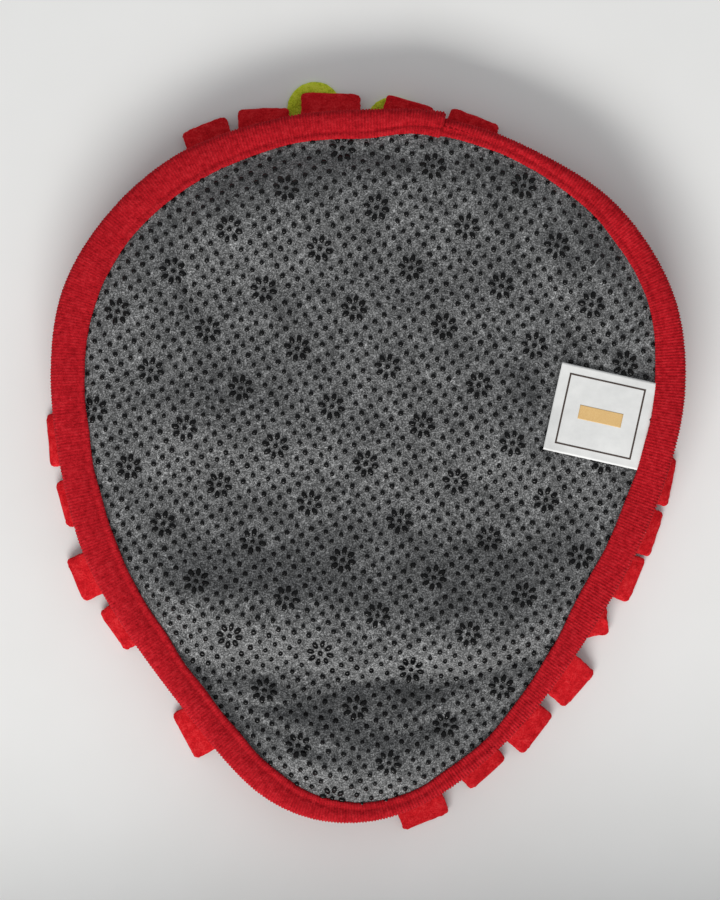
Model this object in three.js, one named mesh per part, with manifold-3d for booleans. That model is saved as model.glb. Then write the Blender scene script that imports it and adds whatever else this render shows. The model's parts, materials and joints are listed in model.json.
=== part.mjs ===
// Berry-shaped snuffle mat for a pet, lying face down: the non-slip back faces up and the fleece pile
// is pressed against the table. Millimetres, +Z up, +Y towards the stem end of the berry.
// The origin is the middle of the footprint, at table height.
import * as THREE from 'three';
import { mergeVertices } from 'three/addons/utils/BufferGeometryUtils.js';
import Module from 'manifold-3d';

// Cloth thicknesses and the clearance between pieces that lie on each other
const GAP = 0.3;
const BACK_FELT = 2;
const PADDING = 4;
const FRONT_CLOTH = 2;
const FLEECE = 2.6;
const BINDING = 1.5;
const SATIN = 0.4;
const THREAD = 0.6;
const THREAD_WIDTH = 1;

// Heights of the sewn stack, counted up from the table
const PILE_HEIGHT = 16;
const PADDING_FLOOR = PILE_HEIGHT + FRONT_CLOTH + GAP;
const FELT_FLOOR = PADDING_FLOOR + PADDING + GAP;
const STACK_TOP = FELT_FLOOR + BACK_FELT;
const LIP_TOP = STACK_TOP + GAP + BINDING;
const LIP_BOTTOM = PILE_HEIGHT - GAP - BINDING;

// Inside the binding the wadding is thicker and lifts the felt to a flat field, proud of the lip
const CROWN = 3;
const FIELD_TOP = STACK_TOP + CROWN;
const FIELD_CLEAR_OF_LIP = 4;

// Outline of the mat: x, y, and how far the binding's back lip reaches in from the edge there
const EDGE = [
  [160, 34, 15.5], [154, 82, 15], [126, 126, 14], [86, 153, 12], [37, 172, 12],
  [-3, 174, 13], [-43, 170, 14], [-94, 152, 17], [-130, 121, 17], [-152, 84, 18],
  [-158, 42, 17], [-151, -16, 18], [-137, -59, 20], [-91, -127, 16], [-50, -171, 15],
  [-16, -183, 11.5], [22, -177, 10], [72, -141, 10], [123, -71, 15], [148, -18, 15.5],
];
const EDGE_STATIONS = 80;
const PLATE_STATIONS = 64;
const FINE_STATIONS = 1440;
const PLATE_INSET = BINDING + GAP;
const FRONT_LIP = 10;

// The binding's outer edge is rounded by a bevel and a corner; the seam runs near its back lip
const EDGE_BEVEL = 3.2;
const EDGE_CORNER = [0.9, 1.6];
const EDGE_FLAT = 3;
const SEAM_FROM_LIP = 3.5;

// Edge strips: bearing from the middle of the mat, width, how far the end shows past the edge, and
// the skew from square. A strip that stays hidden ends just inside the edge.
const STRIP_RUN = 30;
const HIDDEN_REACH = -1;
const HIDDEN_WIDTH = 22;
const ROOT_TAPER = 0.66;
const TIP_CORNER = 2;
const TILTED_THICKNESS = 0.9;
const EDGE_STRIPS = [
  [7], [18], [29], [40], [51], [62],
  [72.2, 26, 5.5, -2],
  [82.5, 25, 6, -12],
  [95.5, 30, 10.5, -5],
  [106.4, 26, 8, -12],
  [116.4, 24, 9.5, 0],
  [126.5], [137.5], [148], [157.5], [167],
  [176.6, 27, 5.3, -3],
  [188.7, 24, 5, 2],
  [202.9, 23, 11, -2],
  [214.8, 24, 7.5, 1],
  [226.5],
  [238, 26, 10, -10],
  [250], [260.3], [269.6],
  [278.6, 25, 10.5, -4],
  [290.5, 24, 8, 2],
  [301, 25, 11, 4],
  [311.6, 24, 13.5, -6],
  [324.8, 22, 9, -2],
  [335.5, 24, 8.5, 6],
  [345.6, 24, 7, 5],
  [355.7, 25, 5, 7],
];

// Fringe rows sewn across the front, each a tape with a row of fleece tabs that point to the tip
const ROW_FIRST_Y = 56;
const ROW_PITCH = 28;
const ROW_COUNT = 7;
const ROW_RUN = 26;
const ROW_CLEAR_OF_EDGE = 34;
const ROW_CLOSENESS = 3;
const TAB_WIDTH = 24;
const TAB_PITCH = 27;
const TAPE_DEPTH = 3;

// Calyx: a round pad on the front near the stem end, and the leaves round it (bearing, length)
const CALYX = new THREE.Vector2(0, 118);
const CALYX_RADIUS = 13;
const CALYX_TAPER = 0.85;
const LEAF_ROOT = 7;
const LEAF_ROOT_WIDTH = 4;
const LEAF_WIDTH = 28;
const LEAVES = [[114, 77.5], [75, 60], [21.5, 60], [-32, 60], [-85.5, 54], [-139, 60], [167.5, 60]];
const LEAF_ZONE = [60, 120];

// Label caught in the binding on the right-hand side
const LABEL_LENGTH = 48.5;
const LABEL_WIDTH = 44.5;
const LABEL_BEARING = 4.2;
const LABEL_TURN = -12.5;
const LABEL_CLEAR_OF_LIP = 1;
const LABEL_HOLLOW = 1.1;
const LABEL_MARGIN = 2;

const RED_FLEECE = { color: '#c8202a', roughness: 0.95, metalness: 0 };
const RED_RIB = { color: '#b01a24', roughness: 0.9, metalness: 0 };
const GREEN_FLEECE = { color: '#bec832', roughness: 0.95, metalness: 0 };
const GREY_FELT = { color: '#565757', roughness: 0.95, metalness: 0 };
const RED_CLOTH = { color: '#a81c26', roughness: 0.95, metalness: 0 };
const WADDING = { color: '#e8e6e0', roughness: 1, metalness: 0 };
const WHITE_SATIN = { color: '#e6e6e2', roughness: 0.45, metalness: 0 };
const RED_THREAD = { color: '#a01820', roughness: 0.7, metalness: 0 };

const wasm = await Module();
wasm.setup();

const edgeCurve = new THREE.CatmullRomCurve3(EDGE.map((p) => new THREE.Vector3(...p)), true, 'centripetal');
const mat = new THREE.Group();

function addPiece(name, geometry, finish) {
  const mesh = new THREE.Mesh(geometry, new THREE.MeshStandardMaterial(finish));
  mesh.name = name;
  mat.add(mesh);
  return mesh;
}

function direction(bearing) {
  const angle = THREE.MathUtils.degToRad(bearing);
  return new THREE.Vector2(Math.cos(angle), Math.sin(angle));
}

// The edge's point, its outward direction and the back lip's depth, at share t of the way round
function edgeAt(t) {
  const p = edgeCurve.getPointAt(t);
  const along = edgeCurve.getTangentAt(t);
  const outward = new THREE.Vector2(along.y, -along.x).normalize();
  return { point: new THREE.Vector2(p.x, p.y), outward, lip: p.z };
}

const fineStations = Array.from({ length: FINE_STATIONS }, (_, i) => edgeAt(i / FINE_STATIONS));

// The same where a ray from the middle at this bearing crosses the edge
function edgeAtBearing(bearing) {
  const ray = direction(bearing);
  const closeness = (at) => at.point.dot(ray) / at.point.length();
  return fineStations.reduce((best, at) => (closeness(at) > closeness(best) ? at : best));
}

// The outline moved in by a distance, and by the back lip's depth as well if that is asked for
function insetOutline(inset, stations, pastLip = false) {
  const points = [];
  for (let i = 0; i < stations; i++) {
    const at = edgeAt(i / stations);
    const distance = inset + (pastLip ? at.lip : 0);
    points.push(at.point.clone().addScaledVector(at.outward, -distance));
  }
  return points;
}

function slab(shape, floor, thickness) {
  const settings = { depth: thickness, bevelEnabled: false, curveSegments: 6 };
  return new THREE.ExtrudeGeometry(shape, settings).translate(0, 0, floor);
}

function toSolid(geometry) {
  const bare = geometry.clone();
  bare.deleteAttribute('normal');
  bare.deleteAttribute('uv');
  const merged = mergeVertices(bare);
  const vertProperties = new Float32Array(merged.attributes.position.array);
  const triVerts = new Uint32Array(merged.index.array);
  return new wasm.Manifold(new wasm.Mesh({ numProp: 3, vertProperties, triVerts }));
}

function toGeometry(solid) {
  const made = solid.getMesh();
  const geometry = new THREE.BufferGeometry();
  geometry.setAttribute('position', new THREE.BufferAttribute(new Float32Array(made.vertProperties), 3));
  geometry.setIndex([...made.triVerts]);
  geometry.computeVertexNormals();
  return geometry;
}

// A full plate reaches out under the binding; a field plate stays inside its lip
function fullPlate(floor, thickness) {
  return slab(new THREE.Shape(insetOutline(PLATE_INSET, PLATE_STATIONS)), floor, thickness);
}

function fieldPlate(clear, floor, thickness) {
  return slab(new THREE.Shape(insetOutline(clear, PLATE_STATIONS, true)), floor, thickness);
}

// A ring round the edge: section(lip) gives its closed section as [inset, height] pairs
function edgeRing(section) {
  const sides = section(0).length;
  const vertices = [];
  const triangles = [];
  for (let i = 0; i < EDGE_STATIONS; i++) {
    const at = edgeAt(i / EDGE_STATIONS);
    for (const [inset, height] of section(at.lip)) {
      const p = at.point.clone().addScaledVector(at.outward, -inset);
      vertices.push(p.x, p.y, height);
    }
  }
  for (let i = 0; i < EDGE_STATIONS; i++) {
    const next = (i + 1) % EDGE_STATIONS;
    for (let j = 0; j < sides; j++) {
      const a = i * sides + j;
      const b = i * sides + ((j + 1) % sides);
      const c = next * sides + ((j + 1) % sides);
      const d = next * sides + j;
      triangles.push(a, b, c, a, c, d);
    }
  }
  const geometry = new THREE.BufferGeometry();
  geometry.setAttribute('position', new THREE.Float32BufferAttribute(vertices, 3));
  geometry.setIndex(triangles);
  geometry.computeVertexNormals();
  return geometry;
}

// The binding's section is a C: down over the back lip, round the edge and back along the front lip
function bindingSection(lip) {
  const middle = (LIP_TOP + LIP_BOTTOM) / 2;
  const [corner, fall] = EDGE_CORNER;
  return [
    [lip, LIP_TOP], [EDGE_BEVEL, LIP_TOP], [corner, LIP_TOP - fall],
    [0, middle + EDGE_FLAT / 2], [0, middle - EDGE_FLAT / 2],
    [corner, LIP_BOTTOM + fall], [EDGE_BEVEL, LIP_BOTTOM], [FRONT_LIP, LIP_BOTTOM],
    [FRONT_LIP, LIP_BOTTOM + BINDING], [BINDING, LIP_BOTTOM + BINDING],
    [BINDING, LIP_TOP - BINDING], [lip, LIP_TOP - BINDING],
  ];
}

function threadSection(lip) {
  const floor = LIP_TOP + GAP;
  const top = floor + THREAD;
  const inner = lip - SEAM_FROM_LIP + THREAD_WIDTH / 2;
  const outer = inner - THREAD_WIDTH;
  return [[inner, top], [outer, top], [outer, floor], [inner, floor]];
}

// Tilt that brings a flap of this run down from the front cloth until its end touches the rest height,
// with its thickness foreshortened by the tilt
function tiltFor(run, rest) {
  const drop = PILE_HEIGHT - GAP - rest - FLEECE * TILTED_THICKNESS;
  return Math.atan2(drop, run);
}

// Hangs a flap by its root: local X along the seam, local Y out along the flap, tilted down
function hang(flap, root, bearing, tilt) {
  flap.position.set(root.x, root.y, PILE_HEIGHT - GAP);
  flap.rotation.set(-tilt, 0, THREE.MathUtils.degToRad(bearing - 90), 'ZXY');
  return flap;
}

// A strip narrows to its root, where it is gathered into the seam, and has trimmed corners at its end
function stripShape(width, length) {
  const end = width / 2;
  const root = end * ROOT_TAPER;
  const shape = new THREE.Shape();
  shape.moveTo(-root, 0);
  shape.lineTo(root, 0);
  shape.lineTo(end, length - TIP_CORNER);
  shape.lineTo(end - TIP_CORNER, length);
  shape.lineTo(TIP_CORNER - end, length);
  shape.lineTo(-end, length - TIP_CORNER);
  shape.closePath();
  return shape;
}

function overALeaf(bearing) {
  return bearing > LEAF_ZONE[0] && bearing < LEAF_ZONE[1];
}

function edgeStrip(number, [bearing, width = HIDDEN_WIDTH, reach = HIDDEN_REACH, skew = 0]) {
  const at = edgeAtBearing(bearing);
  const tilt = tiltFor(STRIP_RUN, overALeaf(bearing) ? FLEECE + GAP * 2 : 0);
  const facing = THREE.MathUtils.radToDeg(at.outward.angle()) + skew;
  const end = at.point.clone().addScaledVector(at.outward, reach);
  const root = end.addScaledVector(direction(facing), -STRIP_RUN);
  const geometry = slab(stripShape(width, STRIP_RUN / Math.cos(tilt)), -FLEECE, FLEECE);
  const name = `edge_strip_${String(number).padStart(2, '0')}`;
  hang(addPiece(name, geometry, RED_FLEECE), root, facing, tilt);
}

// How far left and right a row may reach without coming near the edge strips
function rowSpan(rootY) {
  const inside = insetOutline(ROW_CLEAR_OF_EDGE, PLATE_STATIONS * 4);
  const near = (y) => inside.filter((p) => Math.abs(p.y - y) < ROW_CLOSENESS).map((p) => p.x);
  const xs = [near(rootY), near(rootY - ROW_RUN)];
  return [Math.max(...xs.map((x) => Math.min(...x))), Math.min(...xs.map((x) => Math.max(...x)))];
}

function rowShape(tabs, length) {
  const half = ((tabs - 1) * TAB_PITCH + TAB_WIDTH) / 2;
  const shape = new THREE.Shape();
  shape.moveTo(-half, 0);
  shape.lineTo(half, 0);
  for (let i = tabs - 1; i >= 0; i--) {
    const right = -half + i * TAB_PITCH + TAB_WIDTH;
    const left = right - TAB_WIDTH;
    shape.lineTo(right, length);
    shape.lineTo(left, length);
    if (i > 0) {
      shape.lineTo(left, TAPE_DEPTH);
      shape.lineTo(left - (TAB_PITCH - TAB_WIDTH), TAPE_DEPTH);
    }
  }
  shape.closePath();
  return shape;
}

function fringeRow(number) {
  const y = ROW_FIRST_Y - (number - 1) * ROW_PITCH;
  const [left, right] = rowSpan(y);
  const tabs = Math.floor((right - left - TAB_WIDTH) / TAB_PITCH) + 1;
  const tilt = tiltFor(ROW_RUN, 0);
  const geometry = slab(rowShape(tabs, ROW_RUN / Math.cos(tilt)), -FLEECE, FLEECE);
  const root = new THREE.Vector2((left + right) / 2, y);
  hang(addPiece(`fringe_row_${number}`, geometry, RED_FLEECE), root, -90, tilt);
}

function leafShape(length) {
  const half = LEAF_WIDTH / 2;
  const shape = new THREE.Shape();
  shape.moveTo(LEAF_ROOT_WIDTH / 2, LEAF_ROOT);
  shape.lineTo(half, length - half);
  shape.absarc(0, length - half, half, 0, Math.PI, false);
  shape.lineTo(-LEAF_ROOT_WIDTH / 2, LEAF_ROOT);
  shape.closePath();
  return shape;
}

// Leaves lie flat on the table below the calyx pad, each hinged at its root
function leaf(number, [bearing, length]) {
  const root = CALYX.clone().addScaledVector(direction(bearing), LEAF_ROOT);
  const geometry = slab(leafShape(length), -FLEECE, FLEECE).translate(0, -LEAF_ROOT, 0);
  const piece = addPiece(`calyx_leaf_${number}`, geometry, GREEN_FLEECE);
  piece.position.set(root.x, root.y, FLEECE);
  piece.rotation.z = THREE.MathUtils.degToRad(bearing - 90);
}

function calyxPad() {
  const floor = FLEECE + GAP;
  const height = PILE_HEIGHT - GAP - floor;
  const geometry = new THREE.CylinderGeometry(CALYX_RADIUS, CALYX_RADIUS * CALYX_TAPER, height, 24);
  geometry.rotateX(Math.PI / 2).translate(CALYX.x, CALYX.y, floor + height / 2);
  addPiece('calyx_pad', geometry, GREEN_FLEECE);
}

// A rectangle over the felt that starts at the label's seam and lies along the label
function labelBlock(margin, floor, thickness) {
  const at = edgeAtBearing(LABEL_BEARING);
  const seam = at.point.clone().addScaledVector(at.outward, -at.lip - LABEL_CLEAR_OF_LIP);
  const length = LABEL_LENGTH + margin;
  const geometry = new THREE.BoxGeometry(length, LABEL_WIDTH + 2 * margin, thickness);
  geometry.translate(-length / 2, 0, thickness / 2);
  return { geometry, seam, floor };
}

function place(object, { seam, floor }) {
  object.position.set(seam.x, seam.y, floor);
  object.rotation.z = THREE.MathUtils.degToRad(LABEL_TURN);
  return object;
}

// Local X runs out from the felt to the seam, so the label lifts about its own Y
function label() {
  const block = labelBlock(0, FIELD_TOP - LABEL_HOLLOW + GAP, SATIN);
  place(addPiece('care_label', block.geometry, WHITE_SATIN), block);
}

// The wadding is thick inside the binding and pressed thin under it
function paddingCore() {
  const crown = fieldPlate(FIELD_CLEAR_OF_LIP + BACK_FELT + GAP, PADDING_FLOOR, PADDING + CROWN);
  const core = toSolid(fullPlate(PADDING_FLOOR, PADDING)).add(toSolid(crown));
  addPiece('padding_core', toGeometry(core), WADDING);
}

// The felt is drawn over the wadding, with a shallow hollow that the label lies in
function backFelt() {
  const outside = toSolid(fullPlate(FELT_FLOOR, BACK_FELT))
    .add(toSolid(fieldPlate(FIELD_CLEAR_OF_LIP, FELT_FLOOR, BACK_FELT + CROWN)));
  const inside = toSolid(fieldPlate(FIELD_CLEAR_OF_LIP + BACK_FELT, FELT_FLOOR - 1, CROWN + 1));
  const block = labelBlock(LABEL_MARGIN, FIELD_TOP - LABEL_HOLLOW, LABEL_HOLLOW + 1);
  const reach = place(new THREE.Object3D(), block);
  reach.updateMatrix();
  const hollow = toSolid(block.geometry.applyMatrix4(reach.matrix));
  addPiece('back_felt', toGeometry(outside.subtract(inside).subtract(hollow)), GREY_FELT);
}

addPiece('front_cloth', fullPlate(PILE_HEIGHT, FRONT_CLOTH), RED_CLOTH);
paddingCore();
backFelt();
addPiece('edge_binding', edgeRing(bindingSection), RED_RIB);
addPiece('binding_thread', edgeRing(threadSection), RED_THREAD);
label();
calyxPad();
LEAVES.forEach((values, i) => leaf(i + 1, values));
for (let number = 1; number <= ROW_COUNT; number++) fringeRow(number);
EDGE_STRIPS.forEach((values, i) => edgeStrip(i + 1, values));

mat.updateMatrixWorld(true);
const footprint = new THREE.Box3().setFromObject(mat, true);
const middle = footprint.getCenter(new THREE.Vector3());
mat.position.set(-middle.x, -middle.y, -footprint.min.z);
mat.updateMatrixWorld(true);

export default mat;
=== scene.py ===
"""The looks of a berry-shaped snuffle mat that lies face down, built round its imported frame.

Shapes are worked out in millimetres on the mat's own outline and moved into the frame, which is in metres.
"""
import json
import math

import bpy
import numpy as np
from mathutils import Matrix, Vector, noise


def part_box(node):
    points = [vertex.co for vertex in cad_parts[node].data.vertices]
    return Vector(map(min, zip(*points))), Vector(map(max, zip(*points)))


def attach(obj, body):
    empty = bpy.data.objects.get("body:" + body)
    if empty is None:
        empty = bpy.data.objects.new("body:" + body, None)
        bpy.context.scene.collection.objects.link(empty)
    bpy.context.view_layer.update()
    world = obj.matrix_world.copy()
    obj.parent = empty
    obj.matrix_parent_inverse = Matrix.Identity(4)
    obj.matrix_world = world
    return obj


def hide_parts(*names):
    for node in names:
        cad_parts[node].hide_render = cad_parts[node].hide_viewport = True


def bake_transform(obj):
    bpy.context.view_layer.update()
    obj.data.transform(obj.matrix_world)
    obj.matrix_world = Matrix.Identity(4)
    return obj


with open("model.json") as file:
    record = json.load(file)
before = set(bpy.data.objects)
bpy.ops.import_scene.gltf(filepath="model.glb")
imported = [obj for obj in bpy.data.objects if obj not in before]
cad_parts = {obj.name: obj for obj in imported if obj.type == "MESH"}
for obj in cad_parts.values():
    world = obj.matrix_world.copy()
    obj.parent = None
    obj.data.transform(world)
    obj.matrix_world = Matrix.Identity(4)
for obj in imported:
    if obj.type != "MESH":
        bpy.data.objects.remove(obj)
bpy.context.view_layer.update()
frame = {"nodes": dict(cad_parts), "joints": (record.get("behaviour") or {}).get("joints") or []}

MM = 0.001
rng = np.random.default_rng(7)
noise.seed_set(7)

# Outline of the mat: x, y, and how far in the binding's visible back lip reaches there
EDGE = np.array([
    (160, 34, 15.5), (154, 82, 13.8), (126, 126, 12.4), (86, 153, 9.5), (37, 172, 10),
    (-3, 174, 14.5), (-43, 170, 14.4), (-94, 152, 17), (-130, 121, 17), (-152, 84, 18),
    (-158, 42, 17), (-151, -16, 17), (-137, -59, 17.2), (-91, -127, 14.5), (-50, -171, 14.5),
    (-16, -183, 11.5), (22, -177, 8.8), (72, -141, 8.8), (123, -71, 15), (148, -18, 15.5),
], float)
FELT_THICK = 2.0
FLEECE_THICK = 2.6
FRONT_LIP = 10.0
JOIN_BEARING = 76.8
POINTS_PER_SPAN = 40


def box_mm(node):
    """Lowest and highest corner of a CAD node, in millimetres."""
    low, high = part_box(node)
    return np.array(low) / MM, np.array(high) / MM


LIP_BOTTOM, LIP_TOP = box_mm("edge_binding")[0][2], box_mm("edge_binding")[1][2]
CLOTH_FLOOR = box_mm("front_cloth")[0][2]
WADDING_FLOOR = box_mm("padding_core")[0][2]
FELT_RIM = box_mm("back_felt")[0][2] + FELT_THICK
FIELD_TOP = box_mm("back_felt")[1][2]


# ---------------------------------------------------------------- outline

def closed_curve(points):
    """A centripetal Catmull-Rom curve through the points and back to the first."""
    n, spans = len(points), []
    s = np.linspace(0, 1, POINTS_PER_SPAN, endpoint=False)[:, None]
    for i in range(n):
        p0, p1, p2, p3 = (points[(i + k - 1) % n] for k in range(4))
        d0, d1, d2 = (math.sqrt(np.linalg.norm(b - a)) for a, b in ((p0, p1), (p1, p2), (p2, p3)))
        out = ((p1 - p0) / d0 - (p2 - p0) / (d0 + d1) + (p2 - p1) / d1) * d1
        back = ((p2 - p1) / d1 - (p3 - p1) / (d1 + d2) + (p3 - p2) / d2) * d1
        spans.append((2 * s**3 - 3 * s**2 + 1) * p1 + (s**3 - 2 * s**2 + s) * out
                     + (3 * s**2 - 2 * s**3) * p2 + (s**3 - s**2) * back)
    return np.concatenate(spans)


class Rim:
    """Even stations round the edge: place, lip depth, outward direction, distance run and bearing."""

    def __init__(self, stations):
        line = closed_curve(EDGE)
        line = np.vstack([line, line[:1]])
        run = np.concatenate([[0], np.cumsum(np.hypot(*np.diff(line[:, :2], axis=0).T))])
        self.length = run[-1]
        self.run = np.linspace(0, self.length, stations, endpoint=False)
        self.x, self.y, self.lip = (np.interp(self.run, run, line[:, k]) for k in range(3))
        along = np.roll(np.stack([self.x, self.y], 1), -1, 0) - np.roll(np.stack([self.x, self.y], 1), 1, 0)
        along /= np.linalg.norm(along, axis=1)[:, None]
        self.out = np.stack([along[:, 1], -along[:, 0]], 1)
        self.bearing = np.degrees(np.arctan2(self.y, self.x)) % 360


coarse = Rim(900)
SHIFT = box_mm("edge_binding")[0][:2] - np.array([coarse.x.min(), coarse.y.min()])


def to_frame(points):
    """Outline millimetres to frame metres."""
    moved = np.array(points, float)
    moved[:, :2] += SHIFT
    return moved * MM


def inset_of(x, y):
    """How far in from the edge each point lies, in millimetres, and its nearest station."""
    x, y = np.ravel(x), np.ravel(y)
    depth, nearest = np.empty(len(x)), np.empty(len(x), int)
    for a in range(0, len(x), 3000):
        part = slice(a, a + 3000)
        dx, dy = x[part, None] - coarse.x, y[part, None] - coarse.y
        i = np.argmin(dx * dx + dy * dy, axis=1)
        nearest[part] = i
        rows = np.arange(len(i))
        depth[part] = -(dx[rows, i] * coarse.out[i, 0] + dy[rows, i] * coarse.out[i, 1])
    return depth, nearest


def smooth(t):
    t = np.clip(t, 0, 1)
    return t * t * (3 - 2 * t)


def soft_noise(x, y, scale, seed):
    """Smooth noise from about -1 to 1 over features about scale millimetres wide."""
    points = np.stack([np.ravel(x), np.ravel(y)], 1) / scale
    return np.array([noise.noise((p[0], p[1], seed * 7.31)) for p in points]) * 1.6


def label_frame():
    """The label's seam middle, its direction in over the felt, its sideways direction, length and width."""
    joint = next(j for j in frame["joints"] if j["child"] == "care_label")
    root = np.array(joint["pos_m"]) / MM
    side = np.array(joint["axis"], float)
    inwards = np.array([-side[1], side[0], 0.0])
    co = np.array([v.co for v in frame["nodes"]["care_label"].data.vertices]) / MM - root
    if (co @ inwards).mean() < 0:
        inwards = -inwards
    return root, inwards, side, (co @ inwards).max(), np.abs(co @ side).max()


LABEL = label_frame()


# ---------------------------------------------------------------- the lie of the quilted body

# Soft swells of the wadding over the pile: x, y, half-width, half-height, turn in degrees, rise
SWELLS = [
    (6, 60, 70, 30, 0, 3.4),
    (-44, 124, 36, 17, 8, 11.0),
    (66, 130, 34, 20, -20, 3.0),
    (16, -24, 80, 13, -4, -5.0),
    (-74, 14, 26, 14, 0, 6.5),
    (-84, -44, 24, 12, 0, -2.6),
    (-54, -76, 38, 15, -6, 13.0),
    (50, -92, 34, 17, 10, 10.5),
    (72, -30, 30, 16, 10, -6.0),
    (-6, -157, 44, 19, 0, 11.5),
    (-116, 96, 12, 34, 12, 4.0),
    (76, 6, 11, 20, 4, 8.0),
    (118, 4, 18, 12, 0, 2.0),
    (112, 92, 18, 14, -30, 3.4),
]
# Sharp folds: the two ends, half-width, depth (negative for a valley)
FOLDS = [
    ((-98, -103), (-30, -113), 7.0, -10.5),
    ((-30, -113), (30, -112), 8.0, -11.5),
    ((30, -112), (80, -103), 7.5, -9.0),
    ((-84, -118), (-40, -141), 3.0, -4.4),
    ((-76, -120), (-10, -131), 3.0, -4.0),
    ((-64, -139), (-14, -150), 3.0, -2.6),
    ((2, -141), (58, -128), 3.6, -2.6),
    ((-52, -156), (0, -163), 2.8, -2.0),
    ((-94, 124), (-89, 76), 5.0, -4.2),
    ((92, 68), (80, 0), 5.0, -4.0),
    ((98, 113), (120, 74), 2.8, -2.2),
    ((78, 106), (102, 62), 3.0, -2.2),
    ((112, 62), (138, 50), 2.6, -1.8),
    ((-60, 152), (50, 150), 4.0, -2.0),
]
FELT_LOWEST = 21.0
FELT_HIGHEST = 36.6
CROWN_SHARE = 0.5


def lie(x, y):
    """How far the swells and folds raise the body above its flat lie, in millimetres."""
    z = np.zeros_like(x)
    for cx, cy, a, b, turn, rise in SWELLS:
        c, s = math.cos(math.radians(turn)), math.sin(math.radians(turn))
        u, v = (x - cx) * c + (y - cy) * s, (y - cy) * c - (x - cx) * s
        z += rise * np.exp(-0.5 * ((u / a) ** 2 + (v / b) ** 2))
    for (ax, ay), (bx, by), width, depth in FOLDS:
        length = math.hypot(bx - ax, by - ay)
        tx, ty = (bx - ax) / length, (by - ay) / length
        along = (x - ax) * tx + (y - ay) * ty
        across = (y - ay) * tx - (x - ax) * ty + 1.5 * np.sin(along / 11)
        past = np.maximum(np.maximum(-along, along - length), 0)
        z += depth * np.exp(-np.sqrt(across ** 2 + 0.5) / width) * np.exp(-((past / 12) ** 2))
    return z


def on_label(x, y):
    """1 under the label, fading to 0 around it."""
    root, inwards, side, length, half = LABEL
    along = (x + SHIFT[0] - root[0]) * inwards[0] + (y + SHIFT[1] - root[1]) * inwards[1]
    across = (x + SHIFT[0] - root[0]) * side[0] + (y + SHIFT[1] - root[1]) * side[1]
    return smooth((length + 5 - along) / 10) * smooth((half + 6 - np.abs(across)) / 10)


def felt_height(x, y):
    """Top of the felt: pressed down at the lip, raised over the wadding, with swells, folds and puckers."""
    depth, i = inset_of(x, y)
    inside = depth - coarse.lip[i]
    rise = smooth((inside + 2) / (16 + 16 * smooth(np.abs(y) / 140)))
    crown = (FIELD_TOP - FELT_RIM) * CROWN_SHARE * rise
    flat = on_label(x, y)
    swell = lie(x, y) * (0.2 + 0.8 * smooth((inside + 4) / 20)) * (1 - 0.8 * flat)
    small = 0.75 * soft_noise(x, y, 17, 1) + 0.24 * soft_noise(x, y, 6, 2)
    pucker = 0.3 * np.sin(coarse.run[i] / 2.6 + 2 * np.sin(coarse.run[i] / 17)) * np.exp(-np.maximum(inside, 0) / 6)
    z = FELT_RIM - 0.5 + crown + swell + (small * rise * (1 - 0.7 * flat) + pucker) * smooth((inside + 3) / 6)
    z = FELT_LOWEST + 0.9 * np.logaddexp(0, (z - FELT_LOWEST) / 0.9)
    return FELT_HIGHEST - 0.9 * np.logaddexp(0, (FELT_HIGHEST - z) / 0.9)


# ---------------------------------------------------------------- mesh helpers

def new_object(name, vertices, faces, material, smooth_shading=True):
    mesh = bpy.data.meshes.new(name)
    mesh.from_pydata([tuple(v) for v in vertices], [], [tuple(map(int, f)) for f in faces])
    mesh.validate()
    if smooth_shading:
        mesh.polygons.foreach_set("use_smooth", [True] * len(mesh.polygons))
    mesh.materials.append(material)
    made = bpy.data.objects.new(name, mesh)
    bpy.context.scene.collection.objects.link(made)
    return made


def ring_faces(rings, sides):
    """Quads between rings of points, each ring closed on itself."""
    faces = []
    for i in range(rings - 1):
        n = i + 1
        for j in range(sides):
            k = (j + 1) % sides
            faces.append((i * sides + j, i * sides + k, n * sides + k, n * sides + j))
    return faces


def cloth_layer(name, pitch, clear, top, bottom, material):
    """A closed sheet over the mat's outline: top(x, y) and bottom(x, y) give its two faces."""
    xs = np.arange(coarse.x.min(), coarse.x.max() + pitch, pitch)
    ys = np.arange(coarse.y.min(), coarse.y.max() + pitch, pitch)
    gx, gy = (a.ravel() for a in np.meshgrid(xs, ys, indexing="ij"))
    depth, _ = inset_of(gx, gy)
    keep = (depth > clear).reshape(len(xs), len(ys))
    cells = keep[:-1, :-1] & keep[1:, :-1] & keep[:-1, 1:] & keep[1:, 1:]
    index = np.arange(len(gx)).reshape(len(xs), len(ys))
    ci, cj = np.nonzero(cells)
    quads = np.stack([index[ci, cj], index[ci + 1, cj], index[ci + 1, cj + 1], index[ci, cj + 1]], 1)
    used, quads = np.unique(quads, return_inverse=True)
    quads = quads.reshape(-1, 4)
    x, y = gx[used], gy[used]
    count = len(used)
    points = np.vstack([np.stack([x, y, top(x, y)], 1), np.stack([x, y, bottom(x, y)], 1)])
    edges = {}
    for a, b, c, d in quads:
        for e in ((a, b), (b, c), (c, d), (d, a)):
            edges[e] = True
    rim = [(a, b) for a, b in edges if (b, a) not in edges]
    faces = [tuple(q) for q in quads] + [tuple(q[::-1] + count) for q in quads]
    faces += [(b, a, a + count, b + count) for a, b in rim]
    return new_object(name, to_frame(points), faces, material)


# ---------------------------------------------------------------- materials

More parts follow.
